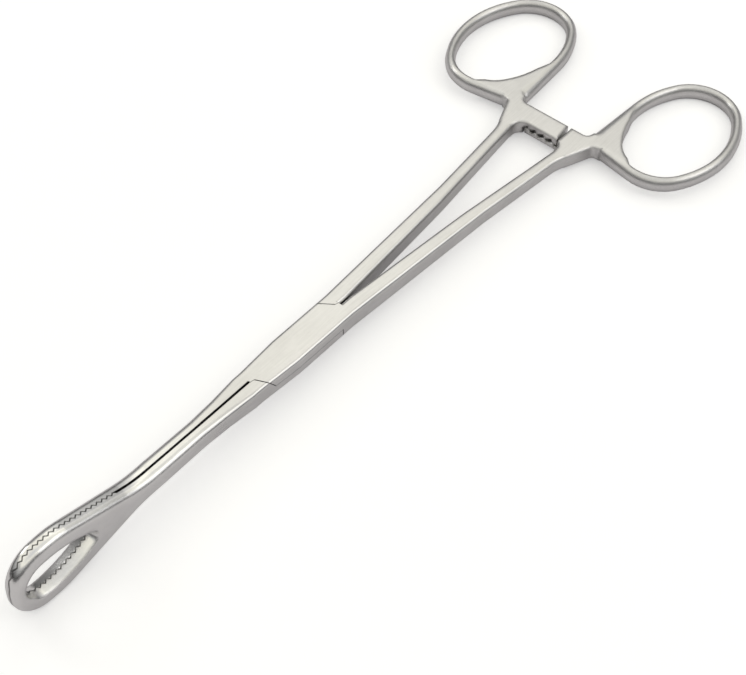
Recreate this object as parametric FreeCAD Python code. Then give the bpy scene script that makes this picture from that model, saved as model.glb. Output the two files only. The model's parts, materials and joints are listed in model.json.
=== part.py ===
import FreeCAD, Part
import math
import os

V = FreeCAD.Vector

# All sizes are millimetres. While the pieces are built the pivot is at the origin, X runs along the
# instrument towards the finger rings, and Z stands up through the flat of the rings. One half is
# described. The other is the same forging turned over about X, with its jaw teeth half a pitch on.

# Lap joint
joint_half_width = 4.72
joint_half_thick = 2.85
joint_neck_half = 3.9
joint_taper_x = -3.0
joint_neck_x = -15.5
joint_start_x = -18.0
joint_end_x = 17.0
joint_round = 1.0
joint_blend = 15.0
lap_gap = 0.04
seam_gap = 0.16
seam_corner_x = 12.85
seam_lean = 2.0
seam_jaw_point = (-14.8, 0.55)
seam_handle_point = (15.9, 0.6)
seam_relief = 1.2

# Pivot rivet, flush on both faces
rivet_radius = 2.0
rivet_head_radius = 2.6
rivet_head_depth = 0.8
rivet_clearance = 0.03

# Middle of the finger ring, along the instrument from the pivot and out to the side
ring_reach = 124.3
ring_spread = 28.2
ring_center = (ring_reach, ring_spread)


def at_ring(x, y):
    return (ring_reach + x, ring_spread + y)


# Handle shank: the corners of its inner and outer edge seen from above, each with its blend radius
shank_start_x = 8.0
shank_gap = 0.22
shank_overlap = 3.0
shank_inner = [(20.0, shank_gap, 15.0), (62.0, 3.4, 15.0)]
shank_outer = [(ring_reach - 30.3, 10.3, 15.0), (66.0, 7.55, 15.0), (17.0, joint_half_width, 15.0)]
handle_half_thick = 2.3
taper_start_x = 23.0
taper_end_x = ring_reach - 35.3

# Finger ring, an oval of four arcs: half length, half width and end radius, outside and at the hole
ring_outer = (21.8, 16.0, 13.2)
ring_hole = (18.7, 12.9, 10.4)
ring_tilt = -2.0
ring_outer_flank = 1.6
ring_inner_flank = 1.4
flank_steps = 3

# Neck, with places measured from the middle of the ring: the two rounded ends of the ring's flank,
# the corners beside them, and the flat web between, which ends inside the ring's bar
nose_side = at_ring(-14.4, -14.3)
nose_side_round = 2.8
nose_outer = at_ring(-18.4, -11.0)
nose_outer_round = 1.6
nose_point_round = 0.3
neck_side_corner = at_ring(-17.6, -17.3)
neck_outer_corner = at_ring(-19.85, -13.8)
neck_round = 1.6
neck_start_x = ring_reach - 27.8
neck_bevel = 0.45
web_side_end = at_ring(-15.9, -17.0)
web_crest_low = at_ring(0.7, -14.25)
web_hole_low = at_ring(-7.8, -11.3)
web_hole_high = at_ring(-16.7, -5.2)
web_crest_high = at_ring(-19.9, -1.7)
web_outer_end = at_ring(-19.75, -12.2)

# Ratchet arm
arm_width = 6.4
arm_far_x = neck_side_corner[0]
arm_near_x = arm_far_x - arm_width
arm_root_y = 7.55
arm_tip_y = -4.5
arm_tip_skew = 0.8
arm_root_round = 3.0
arm_step_y = 5.9
arm_clearance = 0.08
ratchet_pitch = 2.7
ratchet_depth = 1.15
ratchet_undercut = 0.35
ratchet_first_y = -4.0
ratchet_teeth = 4

# Jaw shank sections: distance from the pivot, outer face, half height, outer rounding
jaw_root_x = -50.0
jaw_gap = 0.3
jaw_sections = [(joint_start_x, joint_neck_half, joint_half_thick, joint_round), (-26.0, 3.35, 2.82, 1.45),
                (-34.0, 3.02, 2.88, 1.7), (jaw_root_x, 3.1, 3.05, 1.75)]

# Jaw loop, tapering in thickness to the tip. The places of its corners are measured from its ends
loop_length = 44.0
jaw_tip_x = jaw_root_x - loop_length
jaw_half_height = 10.12
jaw_tip_flat = 1.1
jaw_tilt = -1.15
root_corner_reach = 5.2
shoulder_reach = 14.2
jaw_root_corner = (jaw_root_x - root_corner_reach, jaw_sections[-1][2], 30.0)
jaw_shoulder = (jaw_tip_x + shoulder_reach, jaw_half_height, 20.0)
jaw_tip_corner = (jaw_tip_x, jaw_half_height, jaw_half_height - jaw_tip_flat)
window_tip_reach = 8.6
window_heel_reach = 22.5
window_tip = (jaw_tip_x + window_tip_reach, 4.8)
window_heel = (jaw_tip_x + window_heel_reach, 1.3)
window_side = 24.0
window_flare = 1.25
tooth_pitch = 1.58
tooth_height = 0.66
teeth_length = 33.4
tooth_start_x = jaw_tip_x + teeth_length
tooth_tip_margin = 0.3
tooth_gap = 0.07


def line(a, b):
    return Part.LineSegment(a, b).toShape()


def unit(a, b):
    size = math.dist(a[:2], b[:2])
    return ((b[0] - a[0]) / size, (b[1] - a[1]) / size)


# Lines and tangent arcs through a list of corners, each (x, y, blend radius), in the drawing plane
def rounded_path(corners, place):
    edges = []
    last = corners[0][:2]
    for before, here, after in zip(corners, corners[1:], corners[2:]):
        back = unit(here, before)
        ahead = unit(here, after)
        opening = math.acos(max(-1.0, min(1.0, back[0] * ahead[0] + back[1] * ahead[1])))
        reach = here[2] / math.tan(opening / 2)
        start = (here[0] + back[0] * reach, here[1] + back[1] * reach)
        end = (here[0] + ahead[0] * reach, here[1] + ahead[1] * reach)
        inward = unit((0, 0), (back[0] + ahead[0], back[1] + ahead[1]))
        depth = here[2] / math.sin(opening / 2) - here[2]
        middle = (here[0] + inward[0] * depth, here[1] + inward[1] * depth)
        if math.dist(last, start) > 1e-5:
            edges.append(line(place(last), place(start)))
        edges.append(Part.Arc(place(start), place(middle), place(end)).toShape())
        last = end
    if math.dist(last, corners[-1][:2]) > 1e-5:
        edges.append(line(place(last), place(corners[-1])))
    return edges


def arc(center, radius, first, last, place):
    def on(turn):
        return place((center[0] + radius * math.cos(turn), center[1] + radius * math.sin(turn)))

    return Part.Arc(on(first), on((first + last) / 2), on(last)).toShape()


def above(point):
    return V(point[0], point[1], -joint_half_thick)


def plan_prism(points, low, high):
    face = Part.Face(Part.makePolygon([V(x, y, low) for x, y in points + points[:1]]))
    return face.extrude(V(0, 0, high - low))


# Block between two levels whose leading corners move along X by the given lean for each unit of height
def leaning_prism(leading, others, lean, low, high):
    wires = []
    for z in (low, high):
        points = [(x + lean * z, y) for x, y in leading] + others
        wires.append(Part.makePolygon([V(x, y, z) for x, y in points + points[:1]]))
    return Part.makeLoft(wires, True, True)


def edges_where(shape, keep):
    chosen = []
    for edge in shape.Edges:
        middle = (edge.FirstParameter + edge.LastParameter) / 2
        if keep(edge.valueAt(middle), edge.tangentAt(middle)):
            chosen.append(edge)
    return chosen


# The four arcs of an oval, as (center, radius, first turn, last turn), starting at its underside
def oval_arcs(half_length, half_width, end_radius):
    step = half_length - end_radius
    side_radius = (step ** 2 + half_width ** 2 - end_radius ** 2) / (2 * (half_width - end_radius))
    lift = side_radius - half_width
    spread = math.atan2(step, lift)
    lean = math.radians(ring_tilt)
    quarter = math.pi / 2
    arcs = []
    for center, radius, middle, half in [((0, lift), side_radius, -quarter, spread),
                                         ((step, 0), end_radius, 0.0, quarter - spread),
                                         ((0, -lift), side_radius, quarter, spread),
                                         ((-step, 0), end_radius, 2 * quarter, quarter - spread)]:
        x = ring_center[0] + center[0] * math.cos(lean) - center[1] * math.sin(lean)
        y = ring_center[1] + center[0] * math.sin(lean) + center[1] * math.cos(lean)
        arcs.append(((x, y), radius, middle - half + lean, middle + half + lean))
    return arcs


# Direction square to the line that touches two circles on the same side
def shared_normal(first, first_radius, second, second_radius, side):
    away = math.atan2(first[1] - second[1], first[0] - second[0])
    return away + side * math.acos((second_radius - first_radius) / math.dist(first, second))


# Outline of ring and neck at one level of the rounded flank: share 0 at the middle, 1 at the crest
def ring_outline(share, z):
    def place(point):
        return V(point[0], point[1], z)

    inset = share * ring_outer_flank
    arcs = [(center, radius - inset, first, last) for center, radius, first, last in oval_arcs(*ring_outer)]
    (low_center, low_radius, _, low_end), end_arc, top_arc, (left_center, left_radius, left_start, _) = arcs
    side_round = nose_side_round + share * (nose_point_round - nose_side_round)
    outer_round = nose_outer_round + share * (nose_point_round - nose_outer_round)
    low_start = shared_normal(nose_side, side_round, low_center, low_radius, 1)
    left_end = shared_normal(nose_outer, outer_round, left_center, left_radius, -1) % (2 * math.pi)
    across = shared_normal(nose_outer, outer_round, nose_side, side_round, 1)
    pieces = [arc(nose_side, side_round, across, low_start % (2 * math.pi), place),
              arc(low_center, low_radius, low_start, low_end, place),
              arc(*end_arc, place),
              arc(*top_arc, place),
              arc(left_center, left_radius, left_start, left_end, place),
              arc(nose_outer, outer_round, left_end, across, place)]
    edges = []
    for piece, following in zip(pieces, pieces[1:] + pieces[:1]):
        edges.append(piece)
        start = piece.valueAt(piece.LastParameter)
        end = following.valueAt(following.FirstParameter)
        if start.distanceToPoint(end) > 1e-5:
            edges.append(line(start, end))
    return Part.Wire(edges)


def hole_outline(grow, z):
    def place(point):
        return V(point[0], point[1], z)

    arcs = oval_arcs(*ring_hole)
    return Part.Wire([arc(center, radius + grow, first, last, place) for center, radius, first, last in arcs])


# Finger ring with a rounded bar, as outlines stacked from face to face
def ring_bar():
    outlines = []
    holes = [hole_outline(ring_inner_flank, -joint_half_thick)]
    for step in range(-flank_steps, flank_steps + 1):
        turn = step / flank_steps * math.pi / 2
        z = handle_half_thick * math.sin(turn)
        share = 1 - math.cos(turn)
        outlines.append(ring_outline(share, z))
        holes.append(hole_outline(ring_inner_flank * share, z))
    holes.append(hole_outline(ring_inner_flank, joint_half_thick))
    return Part.makeLoft(outlines, True, True).cut(Part.makeLoft(holes, True, True))


# Point at a given X on the line through two others
def between(a, b, x):
    return (x, a[1] + (b[1] - a[1]) * (x - a[0]) / (b[0] - a[0]))


def rim_edges(plate, keep):
    def on_rim(point, tangent):
        return abs(point.z) > handle_half_thick - 0.1 and abs(tangent.z) < 0.9 and keep(point, tangent)

    return edges_where(plate, on_rim)


# Shank of the handle, a plate with round rims
def shank_plate():
    inner = [(shank_start_x, shank_gap)] + shank_inner + [(arm_near_x, arm_root_y)]
    outer = [between(shank_outer[0], neck_outer_corner, arm_near_x)] + shank_outer
    outer += [(shank_start_x, joint_half_width)]
    edges = rounded_path(inner, above) + [line(above(inner[-1]), above(outer[0]))]
    edges += rounded_path(outer, above) + [line(above(outer[-1]), above(inner[0]))]
    plate = Part.Face(Part.Wire(edges)).extrude(V(0, 0, 2 * joint_half_thick)).common(thickness_slab())

    def keep(point, tangent):
        across = [shank_start_x, taper_start_x, taper_end_x, arm_near_x]
        return abs(tangent.y) < 0.99 or min(abs(point.x - x) for x in across) > 0.01

    return plate.makeFillet(joint_round, rim_edges(plate, keep))


# Neck, web and ratchet arm, a flat plate with narrow bevels that ends inside the ring's bar
def neck_plate():
    root = (arm_near_x, arm_root_y)
    inner = [between(shank_inner[-1], root, neck_start_x), root + (arm_root_round,),
             (arm_near_x, arm_tip_y - arm_tip_skew)]
    web = [nose_side, web_crest_low, web_hole_low, web_hole_high, web_crest_high, nose_outer]
    side = [(arm_far_x, arm_tip_y), neck_side_corner + (neck_round,), web_side_end]
    outer = [web_outer_end, neck_outer_corner + (neck_round,),
             between(shank_outer[0], neck_outer_corner, neck_start_x)]
    edges = rounded_path(inner, above) + [line(above(inner[-1]), above(side[0]))]
    edges += rounded_path(side, above)
    corners = [web_side_end] + web + [web_outer_end]
    edges += [line(above(a), above(b)) for a, b in zip(corners, corners[1:])]
    edges += rounded_path(outer, above) + [line(above(outer[-1]), above(inner[0]))]
    plate = Part.Face(Part.Wire(edges)).extrude(V(0, 0, 2 * joint_half_thick)).common(thickness_slab())

    def keep(point, tangent):
        beside_ring = point.x > web_side_end[0] or point.y > web_outer_end[1]
        return point.x > neck_start_x + 0.01 and not beside_ring

    plate = plate.makeChamfer(neck_bevel, rim_edges(plate, keep))
    return plate.cut(Part.Face(hole_outline(0.0, -joint_half_thick)).extrude(V(0, 0, 2 * joint_half_thick)))


def thickness_slab():
    far = ring_center[0] + ring_outer[0]
    top = [(0.0, joint_half_thick), (taper_start_x, joint_half_thick), (taper_end_x, handle_half_thick),
           (far, handle_half_thick)]
    corners = [V(x, -far, z) for x, z in top] + [V(x, -far, -z) for x, z in reversed(top)]
    return Part.Face(Part.makePolygon(corners + corners[:1])).extrude(V(0, 2 * far, 0))


# Block that carries the lap
def joint_blank():
    far = [(joint_end_x, joint_half_width), (joint_taper_x, joint_half_width, joint_blend),
           (joint_neck_x, joint_neck_half, joint_blend), (joint_start_x, joint_neck_half)]
    near = [(p[0], -p[1]) + p[2:] for p in reversed(far)]
    edges = rounded_path(far, above) + [line(above(far[-1]), above(near[0]))]
    edges += rounded_path(near, above) + [line(above(near[-1]), above(far[0]))]
    block = Part.Face(Part.Wire(edges)).extrude(V(0, 0, 2 * joint_half_thick))

    def long_edge(point, tangent):
        return abs(tangent.x) > 0.9

    block = block.makeFillet(joint_round, edges_where(block, long_edge))
    start = shank_start_x + shank_overlap
    end = joint_end_x + 1
    side = 2 * joint_half_width
    high = 2 * joint_half_thick
    corners = [(start, shank_gap + 1), (end, shank_gap + 1), (end, side), (start, side)]
    return block.cut(plan_prism(corners, -high, high))


# Jaw shank, flat on the inside and rounded on the outside
def jaw_section(x, outer, half, rounding):
    r = rounding
    s = math.sqrt(0.5)
    low = -outer
    points = [V(x, -jaw_gap, half), V(x, -jaw_gap, -half), V(x, low + r, -half), V(x, low, r - half),
              V(x, low, half - r), V(x, low + r, half)]
    lower = V(x, low + r - r * s, r - half - r * s)
    upper = V(x, low + r - r * s, half - r + r * s)
    return Part.Wire([line(points[0], points[1]), line(points[1], points[2]),
                      Part.Arc(points[2], lower, points[3]).toShape(), line(points[3], points[4]),
                      Part.Arc(points[4], upper, points[5]).toShape(), line(points[5], points[0])])


def tilted(shape):
    root_x, outer = jaw_sections[-1][:2]
    shape.rotate(V(root_x, -outer, 0), V(0, 0, 1), jaw_tilt)
    return shape


def jaw_shank():
    sections = [jaw_section(*row) for row in jaw_sections]
    return Part.makeLoft(sections[:-1] + [tilted(sections[-1])], True, True)


# Jaw loop with its window
def jaw_loop():
    x0, outer, half, rounding = jaw_sections[-1]

    def on_face(point):
        return V(point[0], -outer, point[1])

    corners = [(x0, half), jaw_root_corner, jaw_shoulder, jaw_tip_corner]
    corners += [(p[0], -p[1]) + p[2:] for p in reversed(corners)]
    edges = rounded_path(corners, on_face) + [line(on_face(corners[-1]), on_face(corners[0]))]
    loop = Part.Face(Part.Wire(edges)).extrude(V(0, outer + tooth_height, 0))

    def outer_edge(point, tangent):
        return point.y < -outer + 0.01 and point.x < x0 - 0.1

    loop = tilted(loop.makeFillet(rounding, edges_where(loop, outer_edge)))
    throat = Part.Face(window_wire(0.0, 0.0)).extrude(V(0, 2 * tooth_height, 0))
    window = Part.makeLoft([window_wire(0.0, 0.0), window_wire(-outer, window_flare)], True, True)
    return loop.cut(window.fuse(throat))


# Egg-shaped outline: a large circle at the tip, a small one at the heel, and flatter arcs between
def window_wire(y, grow):
    def place(point):
        return V(point[0], y, point[1])

    tip_radius = window_tip[1] + grow
    heel_radius = window_heel[1] + grow
    side = window_side + grow
    span = window_heel[0] - window_tip[0]
    to_tip = side - tip_radius
    to_heel = side - heel_radius
    x = window_tip[0] + (span ** 2 + to_tip ** 2 - to_heel ** 2) / (2 * span)
    drop = math.sqrt(to_tip ** 2 - (x - window_tip[0]) ** 2)
    at_tip = math.atan2(drop, window_tip[0] - x)
    at_heel = math.atan2(drop, window_heel[0] - x)
    return Part.Wire([arc((window_heel[0], 0), heel_radius, -at_heel, at_heel, place),
                      arc((x, -drop), side, at_heel, at_tip, place),
                      arc((window_tip[0], 0), tip_radius, at_tip, 2 * math.pi - at_tip, place),
                      arc((x, drop), side, -at_tip, -at_heel, place)])


# Everything in front of the toothed inner face, to be cut away
def tooth_cutter(phase):
    x = tooth_start_x - phase * tooth_pitch / 2
    level = tooth_height / 2
    clear = jaw_sections[-1][1]
    points = [(jaw_root_x + 1, -jaw_gap), (x, -level - tooth_gap / 2)]
    side = 1
    while x - tooth_pitch / 2 > jaw_tip_x + tooth_tip_margin:
        x -= tooth_pitch / 2
        points.append((x, side * level - tooth_gap / 2))
        side = -side
    points += [(jaw_tip_x - 1, -tooth_gap / 2), (jaw_tip_x - 1, clear), (jaw_root_x + 1, clear)]
    return plan_prism(points, -2 * jaw_half_height, 2 * jaw_half_height)


# Room for the other half inside the lap. The wall at the jaw end leans in towards the middle
def lap_cutters():
    jx, jy = seam_jaw_point
    hx, hy = seam_handle_point
    g = seam_gap
    far = joint_half_width + 1.5
    high = 2 * joint_half_thick
    reach = 2 * joint_end_x
    slope = seam_lean / joint_half_thick
    lean_jaw = (jx + seam_corner_x) / (joint_half_width - jy)
    lean_handle = (hx - seam_corner_x) / (joint_half_width - hy)
    jaw_out = -seam_corner_x - lean_jaw * (far - joint_half_width)
    handle_out = seam_corner_x - lean_handle * (far - joint_half_width)
    wall = [(jx - seam_relief, -jaw_gap), (jx - g, -jy), (jaw_out - g, -far)]
    rest = [(reach, -far), (reach, shank_gap), (hx + seam_relief, shank_gap), (hx + g, hy),
            (handle_out + g, far), (-reach, far), (-reach, -jaw_gap)]
    upper_cut = leaning_prism([(x + seam_lean, y) for x, y in wall], rest, -slope, -lap_gap / 2, high)
    handle_side = [(handle_out, -far), (hx, -hy), (hx + seam_relief, -shank_gap),
                   (hx + 1.3 * seam_relief, shank_gap), (reach, shank_gap), (reach, -far)]
    wall = [(jx - 1.2 * seam_relief, -jaw_gap), (jx - seam_relief, jaw_gap), (jx, jy), (jaw_out, far)]
    jaw_side = leaning_prism([(x + seam_lean, y) for x, y in wall], [(-reach, far), (-reach, -jaw_gap)],
                             slope, -high, high)
    return [upper_cut, plan_prism(handle_side, -high, high), jaw_side]


# Ratchet arm: only its upper layer is kept, with saw teeth underneath
def ratchet_cutters():
    floor = arm_clearance / 2
    width = arm_far_x - arm_near_x
    near = arm_near_x - width / 4
    far = arm_far_x + width / 4
    past = arm_tip_y - width
    under = plan_prism([(near, arm_step_y), (far, arm_step_y), (far, past), (near, past)],
                       -2 * joint_half_thick, floor)
    cutters = [under]
    for i in range(ratchet_teeth):
        y = ratchet_first_y + i * ratchet_pitch
        end = min(y + ratchet_pitch, arm_step_y)
        corners = [V(near, y, floor - 0.01), V(near, y + ratchet_undercut, floor + ratchet_depth),
                   V(near, end, floor - 0.01), V(near, y, floor - 0.01)]
        cutters.append(Part.Face(Part.makePolygon(corners)).extrude(V(far - near, 0, 0)))
    return cutters


def forceps_half(phase):
    body = shank_plate().fuse([neck_plate(), ring_bar(), joint_blank(), jaw_shank(), jaw_loop()])
    body = body.cut(lap_cutters() + ratchet_cutters() + [tooth_cutter(phase)])
    return body.removeSplitter()


def rivet(clearance):
    r = rivet_radius + clearance
    h = rivet_head_radius + clearance
    d = rivet_head_depth
    t = joint_half_thick
    shape = Part.makeCylinder(r, 2 * t, V(0, 0, -t))
    shape = shape.fuse(Part.makeCone(h, r, d, V(0, 0, -t)))
    return shape.fuse(Part.makeCone(r, h, d, V(0, 0, t - d))).removeSplitter()


lower = forceps_half(0).cut(rivet(rivet_clearance))
upper = forceps_half(1)
upper.rotate(V(0, 0, 0), V(1, 0, 0), 180)
pin = rivet(0.0)
upper = upper.cut(pin)

# The finished parts are moved so that the middle of their common underside is the origin
pieces = {"upper_lap_half": upper, "lower_lap_half": lower, "pivot_rivet": pin}
bounds = Part.makeCompound(list(pieces.values())).optimalBoundingBox(False, False)
shift = V(-bounds.Center.x, -bounds.Center.y, -bounds.ZMin)
os.makedirs("parts", exist_ok=True)
for name, shape in pieces.items():
    shape.translate(shift)
    shape.exportStep("parts/" + name + ".step")
    print(name, shape.isValid(), len(shape.Solids), round(shape.Volume, 2), len(shape.Faces))
print("shift", shift)
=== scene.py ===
import json
import math

import bpy
from mathutils import Matrix, Vector

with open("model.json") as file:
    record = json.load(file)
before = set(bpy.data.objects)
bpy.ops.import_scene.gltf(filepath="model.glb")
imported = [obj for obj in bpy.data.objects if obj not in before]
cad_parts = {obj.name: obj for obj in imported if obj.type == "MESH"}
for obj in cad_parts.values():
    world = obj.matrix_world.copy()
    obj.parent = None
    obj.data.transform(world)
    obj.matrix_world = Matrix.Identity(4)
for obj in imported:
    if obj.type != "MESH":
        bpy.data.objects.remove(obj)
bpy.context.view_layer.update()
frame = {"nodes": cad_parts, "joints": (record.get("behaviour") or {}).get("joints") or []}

bpy.ops.object.select_all(action="DESELECT")
scene = bpy.context.scene
scene.view_settings.view_transform = "Standard"

# The viewpoint. A long lens looks down at the instrument from above its jaws and to their near side, so
# that it lies across the picture from its jaws at the lower left to its finger rings at the upper right.
MM = 0.001
pivot = Vector(frame["joints"][0]["pos_m"])
CAMERA_PLACE = Vector((-220.2, -204.9, 354.2)) * MM + pivot
CAMERA_RIGHT = Vector((0.6462, -0.7631, 0.0085))
CAMERA_UP = Vector((0.5745, 0.4938, 0.6527))
FOCAL_PIXELS = 1900.0
IMAGE_WIDTH, IMAGE_HEIGHT = 746.0, 675.0
PICTURE_CENTRE = (364.0, 336.0)
SENSOR_WIDTH = 36.0
right = CAMERA_RIGHT.normalized()
back = right.cross(CAMERA_UP).normalized()
up = back.cross(right)
bpy.ops.object.camera_add()
camera = bpy.context.object
camera.name = "Camera"
camera.matrix_world = Matrix.Translation(CAMERA_PLACE) @ Matrix((right, up, back)).transposed().to_4x4()
camera.data.sensor_fit = "HORIZONTAL"
camera.data.sensor_width = SENSOR_WIDTH
camera.data.lens = FOCAL_PIXELS / IMAGE_WIDTH * SENSOR_WIDTH
camera.data.shift_x = (IMAGE_WIDTH / 2 - PICTURE_CENTRE[0]) / IMAGE_WIDTH
camera.data.shift_y = (PICTURE_CENTRE[1] - IMAGE_HEIGHT / 2) / IMAGE_WIDTH
camera.data.clip_start = 0.01
camera.data.clip_end = 20.0
scene.camera = camera


# The two forged halves. Each is stainless steel, ground and tumbled to a satin finish: a fine grain along
# the instrument and a faint mottle from the tumbling. Edges are broken; seams and tooth roots have painted
# shade.

# A Socket stands for a node's output, so that sums and products are written as they read
class Socket:
    def __init__(self, tree, link):
        self.tree = tree
        self.link = link

    def maths(self, operation, *values):
        return node(self.tree, "ShaderNodeMath", {"operation": operation}, dict(enumerate(values)))

    def __add__(self, other):
        return self.maths("ADD", self, other)

    def __radd__(self, other):
        return self.maths("ADD", other, self)

    def __sub__(self, other):
        return self.maths("SUBTRACT", self, other)

    def __rsub__(self, other):
        return self.maths("SUBTRACT", other, self)

    def __mul__(self, other):
        return self.maths("MULTIPLY", self, other)

    def __rmul__(self, other):
        return self.maths("MULTIPLY", other, self)

    def __lt__(self, other):
        return self.maths("LESS_THAN", self, other)

    def __abs__(self):
        return self.maths("ABSOLUTE", self)


# Any other node, from its type, its settings and its sockets' values or links
def node(tree, kind, settings=None, inputs=None, output=0):
    made = tree.nodes.new(kind)
    for name, value in (settings or {}).items():
        if name == "stops":
            ramp = made.color_ramp
            while len(ramp.elements) < len(value):
                ramp.elements.new(0.5)
            for element, (place, colour) in zip(ramp.elements, value):
                element.position = place
                element.color = colour
        else:
            setattr(made, name, value)
    for name, value in (inputs or {}).items():
        if isinstance(value, Socket):
            tree.links.new(value.link, made.inputs[name])
        else:
            made.inputs[name].default_value = value
    return Socket(tree, made.outputs[output]) if made.outputs else None


# The low value up to the start, the high one from the end on, and a straight fade between them
def fade(value, start, end, low=0.0, high=1.0):
    return node(value.tree, "ShaderNodeMapRange", {"clamp": True},
                {"Value": value, "From Min": start, "From Max": end, "To Min": low, "To Max": high})


def mixed_colour(factor, first, second):
    return node(factor.tree, "ShaderNodeMix", {"data_type": "RGBA"},
                {"Factor": factor, "A": first, "B": second}, output=2)


def new_material(name):
    material = bpy.data.materials.new(name)
    material.use_nodes = True
    material.node_tree.nodes.clear()
    return material


# Lengths along the instrument are counted from the pivot, towards the rings
JAW_START, JAW_BLEND = -50 * MM, -25 * MM
HANDLE_START, RING_START = 40 * MM, 92 * MM
LAP_REACH, PIN_COVER = 33 * MM, 3.3 * MM
TOOTH_START, TOOTH_PITCH, TOOTH_HEIGHT = -60.6 * MM, 1.58 * MM, 0.66 * MM

STEEL_DARK, STEEL_LIGHT = (0.53, 0.525, 0.515, 1.0), (0.90, 0.895, 0.88, 1.0)
# The colour of the painted shade in seams, slots, tooth roots and the gaps between the teeth
PAINTED_SHADE_COLOUR = (0.05, 0.047, 0.044, 1.0)
GRAIN = {"Scale": 2600.0, "Detail": 2.5, "Roughness": 0.55}
MOTTLE = {"Scale": 700.0, "Detail": 3.0, "Roughness": 0.6}
CLOUD = {"Scale": 120.0, "Detail": 3.0, "Roughness": 0.5}
GRAIN_START, GRAIN_STRETCH, GRAIN_TURN = (0.3, 0.21, 0.0), (0.07, 1.0, 1.0), (0.0, 0.0, 0.16)
CLOUD_TONE, MOTTLE_TONE, GRAIN_TONE, JAW_TONE = 0.45, 0.15, 0.4, 0.3
HANDLE_ROUGHNESS, JAW_POLISH = 0.25, 0.09
WEAR, CLOUD_WEAR, GRAIN_WEAR = 0.09, 0.6, 0.4
GRAIN_RELIEF, MOTTLE_RELIEF, RELIEF_DEPTH, RELIEF_STRENGTH = 0.7, 0.3, 0.06 * MM, 0.10

FINE_EDGE, FORGED_EDGE = 0.2 * MM, 1.3 * MM
SMOOTH_EDGE, SHARP_EDGE, SEAM_DARKNESS = 0.985, 0.90, 0.8
TOOTH_LINE, TOOTH_LINE_BLUR, TOOTH_LINE_DARKNESS = 0.10 * MM, 0.10 * MM, 0.85
TOOTH_FLANK_COSINE, TOOTH_FACE_TURN = 0.77, 0.6
CREVICE_REACH, CREVICE_SHUT, CREVICE_OPEN, CREVICE_TONE = 1.2 * MM, 0.10, 0.55, 0.12


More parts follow.
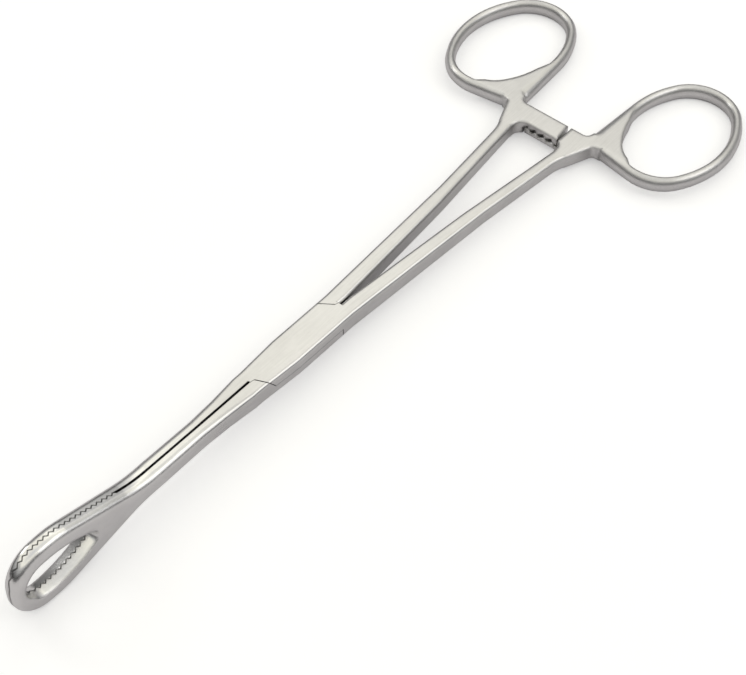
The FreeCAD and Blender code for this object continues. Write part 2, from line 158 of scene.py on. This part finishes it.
def satin_steel(name):
    material = new_material(name)
    tree = material.node_tree
    place = node(tree, "ShaderNodeTexCoord", output="Object")
    from_pivot = node(tree, "ShaderNodeMapping", {}, {"Vector": place, "Location": tuple(-pivot)})
    x = node(tree, "ShaderNodeSeparateXYZ", {}, {"Vector": from_pivot}, output="X")
    y = node(tree, "ShaderNodeSeparateXYZ", {}, {"Vector": from_pivot}, output="Y")
    jaw = fade(x, JAW_BLEND, JAW_START)
    ring = fade(x, HANDLE_START, RING_START)

    # Polishing grain along the instrument, the tumbled mottle, and slow clouds over both
    moved = node(tree, "ShaderNodeMapping", {}, {"Vector": place, "Location": GRAIN_START})
    along = node(tree, "ShaderNodeMapping", {},
                 {"Vector": moved, "Scale": GRAIN_STRETCH, "Rotation": GRAIN_TURN})
    grain = node(tree, "ShaderNodeTexNoise", {}, {"Vector": along, **GRAIN})
    mottle = node(tree, "ShaderNodeTexNoise", {}, {"Vector": moved, **MOTTLE})
    cloud = node(tree, "ShaderNodeTexNoise", {}, {"Vector": moved, **CLOUD})
    tone = mixed_colour(cloud * CLOUD_TONE + mottle * MOTTLE_TONE + grain * GRAIN_TONE + jaw * JAW_TONE,
                        STEEL_DARK, STEEL_LIGHT)

    # The jaws are polished smoother than the joint and handles
    rough = HANDLE_ROUGHNESS - jaw * JAW_POLISH + WEAR * (cloud * CLOUD_WEAR + grain * GRAIN_WEAR)

    # Painted shadow: a dark zigzag where the jaw teeth meet, drawn where their edges are and not on the
    # toothed faces
    from_first = x - TOOTH_START
    wave = from_first.maths("PINGPONG", from_first, TOOTH_PITCH / 2)
    off_line = (y - wave * (2 * TOOTH_HEIGHT / TOOTH_PITCH) + TOOTH_HEIGHT / 2) * TOOTH_FLANK_COSINE
    near_line = fade(abs(off_line), TOOTH_LINE, TOOTH_LINE + TOOTH_LINE_BLUR, 1.0, 0.0)
    facing = node(tree, "ShaderNodeTexCoord", output="Normal")
    sideways = node(tree, "ShaderNodeSeparateXYZ", {}, {"Vector": facing}, output="Y")
    tooth_gap_shadow = near_line * (x < TOOTH_START) * (abs(sideways) < TOOTH_FACE_TURN)

    # Edges are broken finely at the joint and the teeth, and flow into each other round the finger rings
    # and the backs of the jaws. The rivet is ground flush, so nothing is rounded about it
    past_teeth = fade(abs(y), TOOTH_HEIGHT, 3 * TOOTH_HEIGHT)
    edge_reach = FINE_EDGE + (FORGED_EDGE - FINE_EDGE) * (ring + jaw * past_teeth)
    edges = node(tree, "ShaderNodeBevel", {"samples": 6}, {"Radius": edge_reach})
    flat = node(tree, "ShaderNodeNewGeometry", output="Normal")
    by_the_pin = x * x + y * y < PIN_COVER * PIN_COVER
    rounded = node(tree, "ShaderNodeMix", {"data_type": "VECTOR"},
                   {"Factor": by_the_pin, "A": edges, "B": flat}, output=1)

    # Painted shade: seams, slots and tooth roots are darkened where ambient occlusion finds them closed in,
    # and so are the sharp edges beside the seams of the lap
    turned = node(tree, "ShaderNodeVectorMath", {"operation": "DOT_PRODUCT"},
                  {0: rounded, 1: flat}, output=1)
    # Painted shade along the sharp edges beside the seams of the lap
    seam_edge_shade = fade(turned, SMOOTH_EDGE, SHARP_EDGE) * (abs(x) < LAP_REACH)
    open_sky = node(tree, "ShaderNodeAmbientOcclusion", {"samples": 8},
                    {"Distance": CREVICE_REACH}, output=1)
    crevice_lightness = fade(open_sky, CREVICE_SHUT, CREVICE_OPEN, CREVICE_TONE, 1.0)
    unshaded_share = crevice_lightness * (1 - tooth_gap_shadow * TOOTH_LINE_DARKNESS) * (1 - seam_edge_shade * SEAM_DARKNESS)
    # The steel tone with the painted shade mixed in
    tone_with_painted_shade = mixed_colour(unshaded_share, PAINTED_SHADE_COLOUR, tone)

    bump = node(tree, "ShaderNodeBump", {},
                {"Height": grain * GRAIN_RELIEF + mottle * MOTTLE_RELIEF, "Strength": RELIEF_STRENGTH,
                 "Distance": RELIEF_DEPTH, "Normal": rounded})
    shader = node(tree, "ShaderNodeBsdfPrincipled", {},
                  {"Base Color": tone_with_painted_shade, "Roughness": rough, "Metallic": 1.0, "Normal": bump})
    node(tree, "ShaderNodeOutputMaterial", {}, {"Surface": shader})
    return material


for half in ("lower_lap_half", "upper_lap_half"):
    frame["nodes"][half].material_slots[0].material = satin_steel(half + "_steel")

# The pivot rivet. It is a stainless pin, peened over and ground flush with both faces of the lap, so that
# the same grain runs across it and its outline doesn't show.
frame["nodes"]["pivot_rivet"].material_slots[0].material = satin_steel("rivet_steel")

# The table. The instrument rests on the bellies of its jaw loops and on the far rims of its finger rings,
# so the table leans by two degrees, along the line through them. The camera alone sees it white. The steel
# mirrors it light grey, so that the metal's own tones don't wash out.
JAW_REST = Vector((-82.0, 0.0, -10.12)) * MM + pivot
RING_REST = Vector((144.5, 0.0, -2.3)) * MM + pivot
TABLE_SIZE = 3.0
TABLE_GREY, TABLE_GLOW, TABLE_ROUGHNESS = 0.80, 0.40, 0.9
MIRRORED_GREY = (0.73, 0.715, 0.75, 1.0)


def grey(value):
    return (value, value, value, 1.0)


slope = math.atan2(RING_REST.z - JAW_REST.z, RING_REST.x - JAW_REST.x)
bpy.ops.mesh.primitive_plane_add(size=TABLE_SIZE, location=JAW_REST, rotation=(0.0, -slope, 0.0))
table = bpy.context.object
table.name = "table"
paper = new_material("pale_table")
tree = paper.node_tree
seen = node(tree, "ShaderNodeBsdfPrincipled", {},
            {"Base Color": grey(TABLE_GREY), "Roughness": TABLE_ROUGHNESS, "Specular IOR Level": 0.0,
             "Emission Color": grey(1.0), "Emission Strength": TABLE_GLOW})
mirrored = node(tree, "ShaderNodeBsdfDiffuse", {}, {"Color": MIRRORED_GREY})
camera_ray = node(tree, "ShaderNodeLightPath", output="Is Camera Ray")
surface = node(tree, "ShaderNodeMixShader", {}, {0: camera_ray, 1: mirrored, 2: seen})
node(tree, "ShaderNodeOutputMaterial", {}, {"Surface": surface})
table.data.materials.append(paper)

# The light of a plain studio: dark walls, a bright warm ceiling over them, and three soft lamps. The
# camera sees white where the table ends.
WALL_TONES = [(0.0, grey(0.05)), (0.22, grey(0.09)), (0.45, grey(0.38)), (0.64, (0.52, 0.515, 0.51, 1.0)),
              (0.71, (1.12, 1.095, 0.99, 1.0)), (0.80, (1.0, 0.98, 0.88, 1.0)), (1.0, grey(0.75))]
world = bpy.data.worlds.new("studio")
scene.world = world
world.use_nodes = True
tree = world.node_tree
tree.nodes.clear()
direction = node(tree, "ShaderNodeTexCoord", output="Generated")
height = node(tree, "ShaderNodeSeparateXYZ", {}, {"Vector": direction}, output="Z")
wall = node(tree, "ShaderNodeValToRGB", {"stops": WALL_TONES}, {"Fac": height})
walls = node(tree, "ShaderNodeBackground", {}, {"Color": wall, "Strength": 1.0})
white = node(tree, "ShaderNodeBackground", {}, {"Color": grey(1.0), "Strength": 1.0})
camera_ray = node(tree, "ShaderNodeLightPath", output="Is Camera Ray")
backdrop = node(tree, "ShaderNodeMixShader", {}, {0: camera_ray, 1: walls, 2: white})
node(tree, "ShaderNodeOutputWorld", {}, {"Surface": backdrop})


# A square lamp that faces the frame's origin, which lies under the middle of the instrument
def soft_lamp(name, place, size, power, colour):
    bpy.ops.object.light_add(type="AREA", location=place)
    lamp = bpy.context.object
    lamp.name = name
    lamp.rotation_euler = (-Vector(place)).to_track_quat("-Z", "Y").to_euler()
    lamp.data.shape = "RECTANGLE"
    lamp.data.size = lamp.data.size_y = size
    lamp.data.energy = power
    lamp.data.color = colour


soft_lamp("ceiling_lamp", (0.50, 0.38, 0.66), size=0.40, power=0.16, colour=(1.0, 0.98, 0.94))
soft_lamp("side_lamp", (-0.15, 0.85, 0.60), size=0.35, power=0.9, colour=(1.0, 0.99, 0.97))
soft_lamp("front_lamp", (0.35, -0.62, 0.60), size=0.60, power=1.0, colour=(1.0, 1.0, 1.0))
